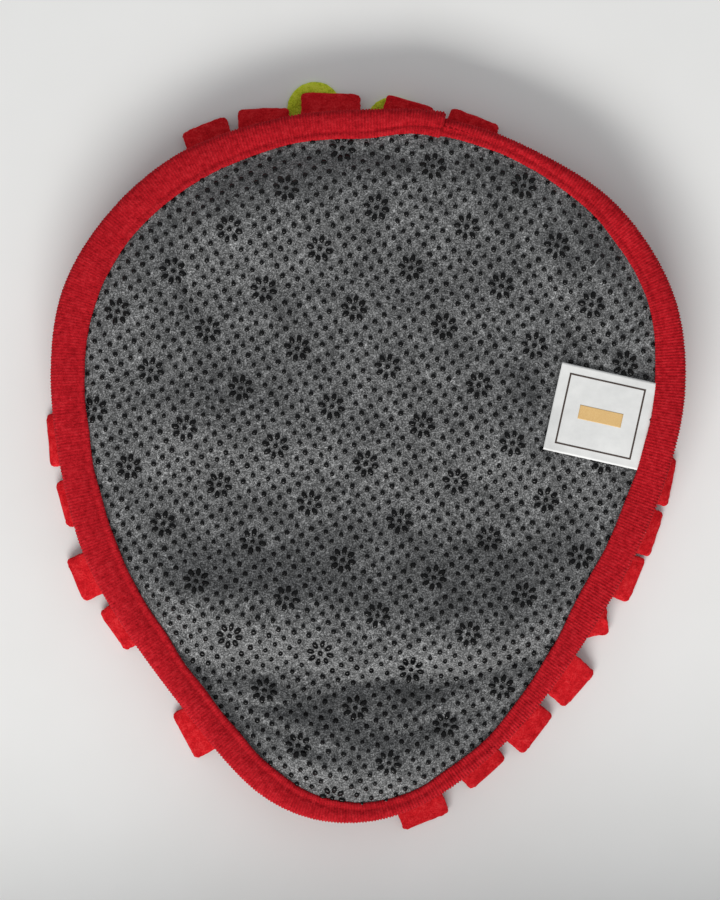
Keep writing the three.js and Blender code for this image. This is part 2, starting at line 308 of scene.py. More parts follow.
class Graph:
    """Nodes of a material or a node group, made and linked by short calls."""

    def __init__(self, tree):
        self.tree = tree

    def node(self, kind, inputs=None, **settings):
        made = self.tree.nodes.new(kind)
        for key, value in settings.items():
            setattr(made, key, value)
        for key, value in (inputs or {}).items():
            if isinstance(value, bpy.types.NodeSocket):
                self.tree.links.new(value, made.inputs[key])
            else:
                made.inputs[key].default_value = value
        return made

    def maths(self, operation, a, b=0.0, clamp=False):
        return self.node("ShaderNodeMath", {0: a, 1: b}, operation=operation, use_clamp=clamp).outputs[0]

    def mix(self, factor, a, b, blend="MIX"):
        made = self.node("ShaderNodeMix", data_type="RGBA", blend_type=blend)
        for key, value in ((0, factor), (6, a), (7, b)):
            if isinstance(value, bpy.types.NodeSocket):
                self.tree.links.new(value, made.inputs[key])
            else:
                made.inputs[key].default_value = value
        return made.outputs[2]

    def ramp(self, value, *stops):
        made = self.node("ShaderNodeValToRGB", {0: value})
        elements = made.color_ramp.elements
        while len(elements) < len(stops):
            elements.new(0.5)
        for element, (place, shade) in zip(elements, stops):
            element.position = place
            element.color = (*(shade if hasattr(shade, "__len__") else (shade,) * 3), 1)
        return made.outputs[0]

    def noise(self, vector, scale, detail=3.0, roughness=0.6):
        made = self.node("ShaderNodeTexNoise", {"Vector": vector, "Scale": scale, "Detail": detail,
                                                "Roughness": roughness})
        return made.outputs["Fac"]


def node_group(name, inputs, outputs):
    """An empty shader node group with float or vector inputs, and its graph, input and output nodes."""
    tree = bpy.data.node_groups.new(name, "ShaderNodeTree")
    for label, kind, value in inputs:
        socket = tree.interface.new_socket(label, in_out="INPUT", socket_type=kind)
        if value is not None:
            socket.default_value = value
    for label, kind in outputs:
        tree.interface.new_socket(label, in_out="OUTPUT", socket_type=kind)
    graph = Graph(tree)
    return tree, graph, graph.node("NodeGroupInput"), graph.node("NodeGroupOutput")


def fibre_group():
    """Matted fibres: streaks in three directions over a fine fleck, as a mask and a height."""
    tree, g, given, result = node_group(
        "matted_fibres",
        [("Place", "NodeSocketVector", None), ("Fibres per metre", "NodeSocketFloat", 900.0),
         ("Stretch", "NodeSocketFloat", 0.16)],
        [("Fleck", "NodeSocketFloat"), ("Streak", "NodeSocketFloat"), ("Height", "NodeSocketFloat")])
    place, density, stretch = given.outputs[0], given.outputs[1], given.outputs[2]
    warp = g.node("ShaderNodeTexNoise", {"Vector": place, "Scale": 260.0, "Detail": 1.0}).outputs["Color"]
    pushed = g.node("ShaderNodeVectorMath", {0: warp, 1: (0.0022,) * 3}, operation="MULTIPLY").outputs[0]
    bent = g.node("ShaderNodeVectorMath", {0: place, 1: pushed}, operation="ADD").outputs[0]
    streaks = None
    for turn in (0.35, 1.4, 2.45):
        turned = g.node("ShaderNodeVectorRotate", {"Vector": bent, "Angle": turn}).outputs[0]
        squeeze = g.node("ShaderNodeCombineXYZ", {0: stretch, 1: 1.0, 2: 1.0}).outputs[0]
        drawn = g.node("ShaderNodeVectorMath", {0: turned, 1: squeeze}, operation="MULTIPLY").outputs[0]
        strand = g.noise(drawn, density, 2.0, 0.55)
        streaks = strand if streaks is None else g.maths("MAXIMUM", streaks, strand)
    fleck = g.noise(place, density, 3.0, 0.7)
    fine = g.maths("MULTIPLY", fleck, 0.5)
    height = g.maths("ADD", g.maths("MULTIPLY", streaks, 0.5), fine)
    for label, value in (("Fleck", fleck), ("Streak", streaks), ("Height", height)):
        g.tree.links.new(value, result.inputs[label])
    return tree


FIBRES = fibre_group()


def material(name, roughness=0.9, sheen=0.0, sheen_tint=(1, 1, 1)):
    """A material with a Principled shader: its graph, shader and the place on the piece."""
    made = bpy.data.materials.new(name)
    made.use_nodes = True
    g = Graph(made.node_tree)
    shader = made.node_tree.nodes["Principled BSDF"]
    shader.inputs["Roughness"].default_value = roughness
    shader.inputs["Sheen Weight"].default_value = sheen
    shader.inputs["Sheen Roughness"].default_value = 0.5
    shader.inputs["Sheen Tint"].default_value = (*sheen_tint, 1)
    shader.inputs["Specular IOR Level"].default_value = 0.5 if roughness < 0.8 else 0.12
    place = g.node("ShaderNodeTexCoord").outputs["Object"]
    return made, g, shader, place


def fibres(g, place, density, stretch=0.16):
    made = g.node("ShaderNodeGroup")
    made.node_tree = FIBRES
    g.tree.links.new(place, made.inputs["Place"])
    made.inputs["Fibres per metre"].default_value = density
    made.inputs["Stretch"].default_value = stretch
    return made.outputs["Fleck"], made.outputs["Streak"], made.outputs["Height"]


def bump(g, shader, height, strength, distance):
    made = g.node("ShaderNodeBump", {"Height": height, "Strength": strength, "Distance": distance})
    g.tree.links.new(made.outputs[0], shader.inputs["Normal"])


def felt_material():
    made, g, shader, place = material("grey_heather_felt", 0.95, 0.12, (0.8, 0.82, 0.85))
    fleck, streak, height = fibres(g, place, 1450.0, 0.26)
    ground = g.ramp(fleck, (0.36, (0.022, 0.0225, 0.023)), (0.5, (0.098, 0.099, 0.1)),
                    (0.64, (0.31, 0.314, 0.318)))
    light = g.ramp(streak, (0.6, 0.0), (0.7, 1.0))
    tuft = g.ramp(g.noise(place, 300.0, 2.0), (0.44, 0.15), (0.6, 1.0))
    dark = g.ramp(g.noise(place, 620.0, 3.0), (0.38, 1.0), (0.48, 0.0))
    light = g.maths("MULTIPLY", light, tuft)
    shade = g.mix(g.maths("MULTIPLY", light, 0.8), ground, (0.5, 0.505, 0.51, 1))
    shade = g.mix(g.maths("MULTIPLY", dark, 0.6), shade, (0.02, 0.021, 0.022, 1))
    patch = g.ramp(g.noise(place, 55.0, 2.0), (0.3, 0.86), (0.7, 1.24))
    g.tree.links.new(g.mix(1.0, shade, patch, "MULTIPLY"), shader.inputs["Base Color"])
    bump(g, shader, height, 0.9, 0.0006)
    return made


def grip_material():
    made, g, shader, place = material("black_grip_print", 0.25)
    shader.inputs["Specular IOR Level"].default_value = 0.22
    grain = g.noise(place, 900.0, 2.0)
    g.tree.links.new(g.ramp(grain, (0.3, (0.001, 0.001, 0.0012)), (0.7, (0.003, 0.003, 0.0034))),
                     shader.inputs["Base Color"])
    g.tree.links.new(g.ramp(grain, (0.3, 0.08), (0.7, 0.15)), shader.inputs["Roughness"])
    bump(g, shader, grain, 0.12, 0.0002)
    return made


def napped_material(name, deep, body, tips, density, sheen, strength=0.7, rib_shade_strength=0.0):
    """Brushed cloth: a deep colour between the fibres, the body colour, and paler fibre tips; when asked, painted
    shade in the rib grooves and painted light on the rib crests.
    """
    made, g, shader, place = material(name, 0.95, sheen, tips)
    fleck, _, height = fibres(g, place, density, 0.3)
    clump = g.noise(place, density * 0.22, 2.0)
    shade = g.ramp(g.maths("ADD", g.maths("MULTIPLY", fleck, 0.6), g.maths("MULTIPLY", clump, 0.4)),
                   (0.34, deep), (0.5, body), (0.66, tips))
    patch = g.ramp(g.noise(place, 60.0, 2.0), (0.3, 0.93), (0.7, 1.05))
    shade = g.mix(1.0, shade, patch, "MULTIPLY")
    # painted shade and light: the colour is darker in the rib grooves and lighter on the rib crests, following the
    # ribs' relief
    if rib_shade_strength:
        rib_shade = g.node("ShaderNodeAttribute", attribute_name="rib_shade").outputs["Fac"]
        between = g.maths("ADD", g.maths("MULTIPLY", rib_shade, rib_shade_strength), 1.0 - 0.4 * rib_shade_strength)
        shade = g.mix(1.0, shade, between, "MULTIPLY")
    g.tree.links.new(shade, shader.inputs["Base Color"])
    mixed = g.maths("ADD", height, g.maths("MULTIPLY", clump, 1.2))
    bump(g, shader, mixed, strength, 0.0009)
    return made


def satin_material():
    made, g, shader, place = material("white_satin", 0.42, 0.1)
    weave = g.node("ShaderNodeTexWave", {"Vector": place, "Scale": 1100.0, "Distortion": 1.5},
                   bands_direction="Y").outputs["Fac"]
    cloud = g.noise(place, 160.0, 2.0)
    g.tree.links.new(g.ramp(g.maths("ADD", g.maths("MULTIPLY", weave, 0.4), g.maths("MULTIPLY", cloud, 0.6)),
                            (0.2, (0.7, 0.705, 0.7)), (0.8, (0.85, 0.85, 0.84))), shader.inputs["Base Color"])
    g.tree.links.new(g.ramp(cloud, (0.3, 0.36), (0.7, 0.5)), shader.inputs["Roughness"])
    bump(g, shader, weave, 0.25, 0.0001)
    return made


def print_material(name, light, dark):
    made, g, shader, place = material(name, 0.6)
    g.tree.links.new(g.ramp(g.noise(place, 1500.0, 2.0), (0.3, dark), (0.7, light)), shader.inputs["Base Color"])
    bump(g, shader, g.noise(place, 2200.0), 0.2, 0.0001)
    return made


def floor_material():
    made, g, shader, place = material("white_table", 0.55)
    g.tree.links.new(g.ramp(g.noise(place, 9.0), (0.3, (0.80, 0.80, 0.79)), (0.7, (0.83, 0.83, 0.825))),
                     shader.inputs["Base Color"])
    return made


FELT = felt_material()
GRIP = grip_material()
# the rib knit carries painted shade in its rib grooves and painted light on its crests
RIB = napped_material("red_rib_knit", (0.23, 0.002, 0.005), (0.45, 0.007, 0.014), (0.6, 0.024, 0.033), 1900.0, 0.14,
                      0.5, rib_shade_strength=0.16)
RED = napped_material("red_fleece", (0.34, 0.003, 0.006), (0.55, 0.008, 0.014), (0.7, 0.035, 0.04), 1300.0, 0.2, 0.6)
LIME = napped_material("lime_fleece", (0.3, 0.36, 0.012), (0.6, 0.7, 0.04), (0.74, 0.8, 0.1), 1200.0, 0.15)
BASE = napped_material("red_base_cloth", (0.14, 0.003, 0.006), (0.3, 0.008, 0.015), (0.4, 0.02, 0.03), 1800.0, 0.1)
WADDING = napped_material("white_wadding", (0.5, 0.5, 0.48), (0.75, 0.75, 0.72), (0.85, 0.85, 0.84), 700.0, 0.1)
THREAD = napped_material("red_thread", (0.24, 0.002, 0.006), (0.48, 0.007, 0.014), (0.66, 0.02, 0.03), 2600.0, 0.1)
SATIN = satin_material()
TAN = print_material("tan_print", (0.78, 0.52, 0.22), (0.7, 0.44, 0.17))
BROWN = print_material("brown_print", (0.07, 0.045, 0.035), (0.04, 0.025, 0.02))


# ---------------------------------------------------------------- quilted body


def quilt():
    """Felt and wadding following the same lie, over a base cloth with its own soft ripple."""
    felt = cloth_layer("felt_back", 2.0, 4.0, felt_height,
                       lambda x, y: felt_height(x, y) - 1.4, FELT)
    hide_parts("back_felt")
    fill = cloth_layer("wadding", 5.0, 6.0, lambda x, y: felt_height(x, y) - 1.9,
                       lambda x, y: np.full_like(x, WADDING_FLOOR + 0.3), WADDING)
    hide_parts("padding_core")

    def under(x, y):
        return CLOTH_FLOOR + 0.35 * soft_noise(x, y, 14, 5) * smooth((inset_of(x, y)[0] - 8) / 8) + 0.3

    base = cloth_layer("base_cloth", 3.0, 4.0, lambda x, y: under(x, y) + 1.3, under, BASE)
    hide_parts("front_cloth")
    for piece in (felt, fill, base):
        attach(piece, "mat_body")


# Print lattice: two steps between dots, and a flower at every sixth dot. Sizes are in millimetres.
STEP_U = np.array([7.53, -1.52])
STEP_V = np.array([-4.70, -3.29])
FLOWER_EVERY = 6
FLOWER_AT = np.array([-45.4, 6.7])
FLOWER_PETALS = 8
PETAL_REACH = 4.9
PETAL_TURN = -12.0
DOT_SIZE = (1.36, 1.26)
FLOWER_MIDDLE_SIZE = (1.2, 1.1)
PETAL_SIZE = (1.85, 1.2)
DOT_HEIGHT = 1.2
DOT_RAISED = 0.2
LATTICE_REACH = 60


def dome(sides):
    """A low dome of unit radius and height: points and faces."""
    rings = [(1.0, -0.2), (0.91, 0.42), (0.66, 0.77), (0.32, 0.95)]
    angles = np.arange(sides) * 2 * math.pi / sides
    points = [(r * math.cos(a), r * math.sin(a), z) for r, z in rings for a in angles]
    points.append((0, 0, 1))
    faces = ring_faces(len(rings), sides)
    top = (len(rings) - 1) * sides
    faces += [(top + j, top + (j + 1) % sides, len(points) - 1) for j in range(sides)]
    return np.array(points), faces


def print_places():
    """Every printed mark: x, y, half-length, half-width and turn."""
    marks = []
    gone = {(0, 0)}
    for a, b in ((1, 0), (0, 1), (1, 1), (1, 2)):
        gone |= {(a, b), (-a, -b)}
    span = FLOWER_EVERY
    for i in range(-LATTICE_REACH, LATTICE_REACH):
        for j in range(-LATTICE_REACH, LATTICE_REACH):
            place = FLOWER_AT + i * STEP_U + j * STEP_V
            if abs(place[0]) > 165 or abs(place[1]) > 190:
                continue
            # flowers stand where the steps along U, and those along V less them, are whole spans
            near = False
            for fi in (math.floor(i / span) * span, math.ceil(i / span) * span):
                for fj in (math.floor((j - fi) / span) * span + fi, math.ceil((j - fi) / span) * span + fi):
                    if (i - fi, j - fj) in gone:
                        near = True
                    if (i, j) == (fi, fj):
                        marks += flower(place)
            if not near:
                marks.append((*place, *DOT_SIZE, rng.uniform(0, 180)))
    return np.array(marks)


def flower(place):
    marks = [(*place, *FLOWER_MIDDLE_SIZE, 0.0)]
    for k in range(FLOWER_PETALS):
        turn = PETAL_TURN + 360 / FLOWER_PETALS * k
        way = np.array([math.cos(math.radians(turn)), math.sin(math.radians(turn))])
        marks.append((*(place + PETAL_REACH * way), *PETAL_SIZE, turn))
    return marks


def grip_print():
    """Raised glossy dots and dot flowers, each set on the felt and tilted with it."""
    marks = print_places()
    x, y = marks[:, 0].copy(), marks[:, 1].copy()
    x += 0.25 * soft_noise(marks[:, 0], marks[:, 1], 30, 11) + rng.normal(0, 0.1, len(x))
    y += 0.25 * soft_noise(marks[:, 0], marks[:, 1], 30, 12) + rng.normal(0, 0.1, len(y))
    # the felt was sewn in with its print a little drawn out towards both ends
    y += 4.5 * ((y - 20) / 150) ** 2 - 1.4
    depth, i = inset_of(x, y)
    keep = depth - coarse.lip[i] > -1.6
    x, y, marks = x[keep], y[keep], marks[keep]
    z = felt_height(x, y)
    step = 1.0
    slope_x = (felt_height(x + step, y) - felt_height(x - step, y)) / (2 * step)
    slope_y = (felt_height(x, y + step) - felt_height(x, y - step)) / (2 * step)
    unit, unit_faces = dome(8)
    points, faces = [], []
    for k in range(len(x)):
        turn = math.radians(marks[k, 4])
        size = rng.uniform(0.86, 1.12)
        long, wide = marks[k, 2] * size, marks[k, 3] * size * rng.uniform(0.92, 1.06)
        p = unit * (long, wide, DOT_HEIGHT * rng.uniform(0.88, 1.12)) + (0, 0, DOT_RAISED)
        px = p[:, 0] * math.cos(turn) - p[:, 1] * math.sin(turn)
        py = p[:, 0] * math.sin(turn) + p[:, 1] * math.cos(turn)
        pz = p[:, 2] + slope_x[k] * px + slope_y[k] * py
        faces += [tuple(v + len(points) * len(unit) for v in f) for f in unit_faces]
        points.append(np.stack([x[k] + px, y[k] + py, z[k] + pz], 1))
    made = new_object("grip_print", to_frame(np.vstack(points)), faces, GRIP)
    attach(made, "mat_body")


# ---------------------------------------------------------------- binding

RIB_PITCH = 1.55
STATIONS_PER_RIB = 5
SEAM_FROM_LIP = 3.4
LAP = 12.0
INNER_SKIN = 5


def binding_profile(lip):
    """The visible skin from the back lip's rim, over the edge, to the front lip: (inset, height) pairs."""
    middle = (LIP_TOP + LIP_BOTTOM) / 2
    top = [(lip, -1.5), (lip + 0.1, -0.8), (lip - 0.2, -0.2), (lip - 0.9, 0.15), (lip - 1.8, 0.2),
           (lip - 2.7, 0.05), (lip - SEAM_FROM_LIP, -0.25), (lip - 4.1, 0.05), (lip - 5.2, 0.3)]
    reach = lip - 5.2 - 3.0
    body = [(3.0 + reach * (1 - t), 0.3 + 0.5 * math.sin(math.pi * t) * min(1, reach / 8))
            for t in (0.25, 0.5, 0.75, 1.0)]
    points = [(a, LIP_TOP + b) for a, b in top + body]
    for angle in (20, 40, 60, 80):
        a = math.radians(angle)
        points.append((3.0 - 3.0 * math.sin(a), LIP_TOP - 3.9 + 4.2 * math.cos(a)))
    points.append((0.0, middle))
    for angle in (80, 50, 20):
        a = math.radians(angle)
        points.append((3.0 - 3.0 * math.sin(a), LIP_BOTTOM + 4.2 - 4.2 * math.cos(a)))
    points += [(6.0, LIP_BOTTOM), (FRONT_LIP, LIP_BOTTOM), (FRONT_LIP, LIP_BOTTOM + 1.2)]
    points += [(2.0, LIP_BOTTOM + 1.2), (1.4, middle), (2.0, LIP_TOP - 1.7), (lip - 2.0, LIP_TOP - 1.5)]
    return np.array(points)


def edge_lift(x, y):
    """How far the binding rises and falls with the body it holds."""
    return np.clip(0.22 * lie(x, y), -0.9, 1.1) + 0.3 * soft_noise(x, y, 40, 21)


def binding():
    """A ribbed band wrapped round the edge and sewn near its back lip, its folded end lapped near the stem."""
    ribs = round(Rim(10).length / RIB_PITCH)
    rim = Rim(ribs * STATIONS_PER_RIB)
    total = len(rim.run)
    first = int(np.argmin(np.abs((rim.bearing - JOIN_BEARING + 180) % 360 - 180)))
    lapped = round(LAP / rim.length * total)
    order = (first + np.arange(total + lapped)) % total
    gone = np.arange(total + lapped) * rim.length / total
    left = gone[-1] - gone
    lift = edge_lift(rim.x, rim.y)
    wander = soft_noise(rim.x, rim.y, 22, 22)
    # the nap hides the ribs where the cloth has been rubbed, on one side
    leftward = smooth((-rim.x - 40) / 80)
    rows, rib_shade_rows = [], []
    for step, k in enumerate(order):
        folded, tucked = np.exp(-gone[step] / 16), np.exp(-max(left[step] - LAP, 0) / 14)
        profile = binding_profile(rim.lip[k] + 0.5 * wander[k] + 0.8 * folded)
        after = np.roll(profile, -1, 0) - np.roll(profile, 1, 0)
        out = np.stack([after[:, 1], -after[:, 0]], 1)
        out /= np.maximum(np.linalg.norm(out, axis=1), 1e-6)[:, None]
        phase = 2 * math.pi * (gone[step] / RIB_PITCH) + 0.9 * wander[k]
        outer = np.ones(len(profile))
        outer[-INNER_SKIN:] = 0
        gain = outer * (1 + 2.2 * smooth((2.6 - profile[:, 0]) / 2.4))
        rib = (0.09 + 0.02 * wander[k]) * (1 - 0.45 * leftward[k]) * math.cos(phase)
        round_end = 1.6 * (1 - math.sqrt(1 - (1 - min(gone[step] / 1.8, 1)) ** 2))
        swell = 1.5 * folded - 1.3 * tucked - round_end
        profile = profile + out * (swell * outer + rib * gain)[:, None]
        profile[:, 0] += 1.6 * tucked * (outer > 0)
        rows.append(np.stack([
            rim.x[k] - rim.out[k, 0] * profile[:, 0],
            rim.y[k] - rim.out[k, 1] * profile[:, 0],
            profile[:, 1] + lift[k],
        ], 1))
        # painted shade: each row keeps its rib phase, which later darkens the rib grooves and lightens the crests
        rib_shade_rows.append(np.full(len(profile), rib / 0.1))
    points = np.vstack(rows)
    grain = np.array([noise.noise_vector(Vector(p) / 0.9) for p in points])
    points += grain * (0.17, 0.17, 0.12)
    sides = len(rows[0])
    faces = ring_faces(len(rows), sides)
    faces += [tuple(reversed(range(sides))), tuple(len(points) - sides + j for j in range(sides))]
    made = new_object("binding", to_frame(points), faces, RIB)
    # painted shade along the ribs, read by the rib knit's colour
    rib_shade = made.data.attributes.new("rib_shade", "FLOAT", "POINT")
    rib_shade.data.foreach_set("value", np.concatenate(rib_shade_rows).astype(np.float32))
    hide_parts("edge_binding")
    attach(made, "mat_body")


STITCH_PITCH = 3.1


def stitches():
    """The seam along the back lip: short threads that dip between the ribs."""
    count = round(coarse.length / STITCH_PITCH)
    rim = Rim(count)
    lift = edge_lift(rim.x, rim.y)
    sides, steps = 6, 7
    points, faces = [], []
    for k in range(count):
        along = np.array([-rim.out[k, 1], rim.out[k, 0]])
        centre = np.array([rim.x[k], rim.y[k]]) - rim.out[k] * (rim.lip[k] - SEAM_FROM_LIP + 0.1)
        first = len(points)
        for s in np.linspace(-1, 1, steps):
            width = 0.24 * math.sqrt(max(1 - s * s, 0.02))
            place = centre + along * s * 1.25
            height = LIP_TOP + lift[k] - 0.3 - 0.4 * s * s
            for j in range(sides):
                a = 2 * math.pi * j / sides
                side = place + rim.out[k] * width * math.cos(a)
                points.append((side[0], side[1], height + width * math.sin(a)))
        faces += [tuple(first + v for v in f) for f in ring_faces(steps, sides)]
        faces.append(tuple(first + j for j in reversed(range(sides))))
        faces.append(tuple(first + (steps - 1) * sides + j for j in range(sides)))
    made = new_object("seam_stitches", to_frame(np.array(points)), faces, THREAD)
    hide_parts("binding_thread")
    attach(made, "mat_body")


# ---------------------------------------------------------------- fleece flaps

def flap_mesh(half_width, centre, sideways, length, seed, along=30, around=60, thick=FLEECE_THICK,
              lumps=0.3, corner=2.6):
    """A soft flap: centre(t) gives (out, height), and sideways(t) a drift, for t from root to end."""
    rows = []
    ts = 1 - (1 - np.linspace(0, 1, along)) ** 1.7
    angles = np.arange(around) * 2 * math.pi / around
    round_sides = np.sign(np.cos(angles)) * np.abs(np.cos(angles)) ** 0.35
    round_faces = np.sign(np.sin(angles)) * np.abs(np.sin(angles)) ** 0.8
    for t in ts:
        out, height = centre(t)
        out2, height2 = centre(min(t + 0.01, 1.0)) if t < 1 else (out, height)
        out1, height1 = centre(max(t - 0.01, 0.0))
        tangent = np.array([out2 - out1, height2 - height1])
        tangent /= max(np.linalg.norm(tangent), 1e-6)
        to_end = (1 - t) * length
        cap = math.sqrt(max(0.0, 1 - max(0.0, 1 - to_end / (thick * 0.6)) ** 2)) if t < 1 else 0.25
        cut = corner * (1 - math.sqrt(1 - max(0.0, 1 - to_end / corner) ** 2)) if corner else 0.0
        side = (half_width(t) - cut) * round_sides + sideways(t)
        off = thick / 2 * round_faces * max(cap, 0.25)
        rows.append(np.stack([side, out - tangent[1] * off, height + tangent[0] * off], 1))
    points = np.vstack(rows)
    shove = np.array([noise.noise_vector((p[0] / 3.4, p[1] / 3.4 + seed * 3.7, p[2] / 3.4)) for p in points])
    fine = np.array([noise.noise_vector((p[0] / 1.0 + seed, p[1] / 1.0, p[2] / 1.0)) for p in points])
    points += lumps * shove + 0.95 * lumps * fine
    faces = ring_faces(len(rows), around)
    faces.append(tuple(reversed(range(around))))
    faces.append(tuple((len(rows) - 1) * around + j for j in range(around)))
    return points, faces


# Flaps lie flat on the table from this height down
PRESSED_FLAT = 0.1


def joint_frame(node):
    """Root place, the seam's direction and the outward direction of the flap's hinge, in millimetres."""
    joint = next(j for j in frame["joints"] if j["child"] == node)
    side = -np.array(joint["axis"], float)
    out = np.array([-side[1], side[0], 0.0])
    return np.array(joint["pos_m"]) / MM, side, out


def cad_points(node, root, side, out):
    """The CAD flap's corners measured along its seam, outwards and up."""
    co = np.array([v.co for v in frame["nodes"][node].data.vertices]) / MM - root
    return co @ side, co @ out, co[:, 2]


def place_flap(name, node, points, faces, root, side, out, finish):
    world = root + points[:, :1] * side + points[:, 1:2] * out + points[:, 2:] * np.array([0, 0, 1.0])
    world[:, 2] = np.maximum(world[:, 2], PRESSED_FLAT)
    made = new_object(name, world * MM, faces, finish)
    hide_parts(node)
    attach(made, node)
    return made


CURLED_STRIP = "edge_strip_30"
# Two hidden strips at the tip that swing towards each other are cut a little slimmer
SLIM_STRIPS = ("edge_strip_24", "edge_strip_25")
SLIMMER = 1.4


def edge_strips():
    nodes = sorted(n for n in frame["nodes"] if n.startswith("edge_strip"))
    for number, node in enumerate(nodes):
        root, side, out = joint_frame(node)
        across, outwards, up = cad_points(node, root, side, out)
        half, run, drop = np.abs(across).max(), outwards.max(), -up.min() - FLEECE_THICK
        root_half = np.abs(across[outwards < 2]).max()
        if node in SLIM_STRIPS:
            half -= SLIMMER
            root_half -= SLIMMER
        curl, lean, bow = rng.uniform(-0.8, 1.4), rng.uniform(-0.8, 0.8), rng.uniform(0.2, 1.0)

        def centre(t, run=run, drop=drop, curl=curl, bow=bow):
            fall = drop * (0.35 * t + 0.65 * smooth(t * 0.9))
            return run * t, -FLEECE_THICK / 2 - fall + bow * math.sin(math.pi * t) + curl * max(t - 0.75, 0) * 2

        curled = node == CURLED_STRIP

        def width(t, half=half, root_half=root_half, curled=curled):
            full = root_half + (half - root_half) * smooth(t * 1.7)
            return full - curled * (full - 2.2) * smooth((t - 0.66) / 0.34) ** 0.8

        if curled:
            curl, lean, bow = 3.5, 3.0, 1.6
        points, faces = flap_mesh(width, centre, lambda t, lean=lean: lean * t * t, math.hypot(run, drop), number)
        if curled:
            crease = np.abs(points[:, 0] + 0.16 * points[:, 1] - 2)
            points[:, 2] += 2.6 * np.exp(-crease / 1.8) * smooth((points[:, 1] - 0.6 * run) / 8)
        place_flap(f"rim_{node}", node, points, faces, root, side, out, RED)


TAB_WIDTH = 24.0
TAB_PITCH = 27.0


def fringe_rows():
    for node in sorted(n for n in frame["nodes"] if n.startswith("fringe_row")):
        root, side, out = joint_frame(node)
        across, outwards, up = cad_points(node, root, side, out)
        half, run, drop = np.abs(across).max(), outwards.max(), -up.min() - FLEECE_THICK
        tabs = round((2 * half - TAB_WIDTH) / TAB_PITCH) + 1
        points, faces = [], []
        for k in range(tabs):
            middle = (k - (tabs - 1) / 2) * TAB_PITCH
            curl, lean = rng.uniform(-0.5, 1.5), rng.uniform(-1.0, 1.0)

            def centre(t, curl=curl):
                fall = drop * (0.5 * t + 0.5 * smooth(t))
                return run * t, -FLEECE_THICK / 2 - fall + curl * max(t - 0.7, 0)

            tab_points, tab_faces = flap_mesh(
                lambda t: TAB_WIDTH / 2 * (0.98 - 0.08 * (1 - t)), centre,
                lambda t, middle=middle, lean=lean: middle + lean * t * t, math.hypot(run, drop),
                k + 40, along=14, around=30)
            faces += [tuple(v + len(points) for v in f) for f in tab_faces]
            points += list(tab_points)
        tape = tape_points(half)
        faces += [tuple(v + len(points) for v in f) for f in tape[1]]
        points += list(tape[0])
        place_flap(f"pile_{node}", node, np.array(points), faces, root, side, out, RED)


def tape_points(half):
    """The folded tape that holds a row's tabs: a flat rounded bar along the seam."""
    rows, sides = 40, 8
    points = []
    for x in np.linspace(-half + 0.4, half - 0.4, rows):
        for j in range(sides):
            a = 2 * math.pi * j / sides
            points.append((x, 1.8 + 1.6 * math.cos(a), -1.4 + 1.0 * math.sin(a)))
    faces = ring_faces(rows, sides)
    faces.append(tuple(reversed(range(sides))))
    faces.append(tuple((rows - 1) * sides + j for j in range(sides)))
    return np.array(points), [tuple(reversed(f)) for f in faces]


# How far each leaf's brushed tip runs on past its solid
LEAF_TIPS = [0, 6, 0, 0, 0, 0, 0]


def leaves():
    for number, node in enumerate(sorted(n for n in frame["nodes"] if n.startswith("calyx_leaf"))):
        root, side, out = joint_frame(node)
        across, outwards, _ = cad_points(node, root, side, out)
        half, length = np.abs(across).max(), outwards.max() + LEAF_TIPS[number]
        root_half = np.abs(across[outwards < 1]).max()
        wave = rng.uniform(0, 6.28)

        def width(t, half=half, length=length, root_half=root_half):
            shoulder = 1 - half / length
            if t < shoulder:
                return root_half + (half - root_half) * (t / shoulder)
            return half * math.sqrt(max(1 - ((t - shoulder) / (1 - shoulder)) ** 2, 0.004))

        def centre(t, length=length, wave=wave):
            return length * t, -FLEECE_THICK / 2 + 0.25 * math.sin(5 * t + wave) * t

        points, faces = flap_mesh(width, centre, lambda t: 0.0, length, number + 80, along=34, around=40,
                                  thick=FLEECE_THICK - 0.2, lumps=0.26, corner=0.0)
        place_flap(f"leaf_{number + 1}", node, points, faces, root, side, out, LIME)


def calyx_pad():
    """A gathered round pad with folds that run in to its middle."""
    low, high = box_mm("calyx_pad")
    centre, radius = (low + high) / 2, (high[0] - low[0]) / 2
    sides, rows = 72, []
    heights = np.linspace(low[2] + 0.1, high[2] - 0.1, 9)
    angles = np.arange(sides) * 2 * math.pi / sides
    for z in heights:
        t = (z - low[2]) / (high[2] - low[2])
        bulge = radius * (0.86 + 0.14 * math.sin(math.pi * (0.15 + 0.7 * t)))
        fold = 0.7 * np.cos(9 * angles) * (1 - t)
        rows.append(np.stack([centre[0] + (bulge + fold) * np.cos(angles),
                              centre[1] + (bulge + fold) * np.sin(angles), np.full(sides, z)], 1))
    faces = ring_faces(len(rows), sides)
    faces.append(tuple(reversed(range(sides))))
    faces.append(tuple((len(rows) - 1) * sides + j for j in range(sides)))
    made = new_object("leaf_pad", np.vstack(rows) * MM, faces, LIME)
    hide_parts("calyx_pad")
    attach(made, "mat_body")


# ---------------------------------------------------------------- label

LABEL_HELD = 7.0
LABEL_THICK = 0.28
LABEL_CLEAR_OF_FELT = 1.6
PRINT_THICK = 0.05
POINTS_PER_SIDE = 16


def label_height(along, across):
    """The label's lie: over the felt's high points, its free corners a little up."""
    root, inwards, side, _, _ = LABEL
    place = root + np.outer(along, inwards) + np.outer(across, side)
    x, y = place[:, 0] - SHIFT[0], place[:, 1] - SHIFT[1]
    ring = [(0, 0), (4, 0), (-4, 0), (0, 4), (0, -4), (3, 3), (-3, 3), (3, -3), (-3, -3)]
    around = np.array([felt_height(x + dx, y + dy) for dx, dy in ring])
    rest = np.log(np.mean(np.exp(2 * (around - around.max())), 0)) / 2 + around.max()
    on_felt = np.maximum(rest, around[0] + 0.1) + LABEL_CLEAR_OF_FELT
    corner = np.clip((along - 30) / 18, 0, 1) ** 2 * (0.4 + np.abs(across) / 22)
    return on_felt + 0.7 * corner + 0.25 * np.sin(along / 9 + across / 13)


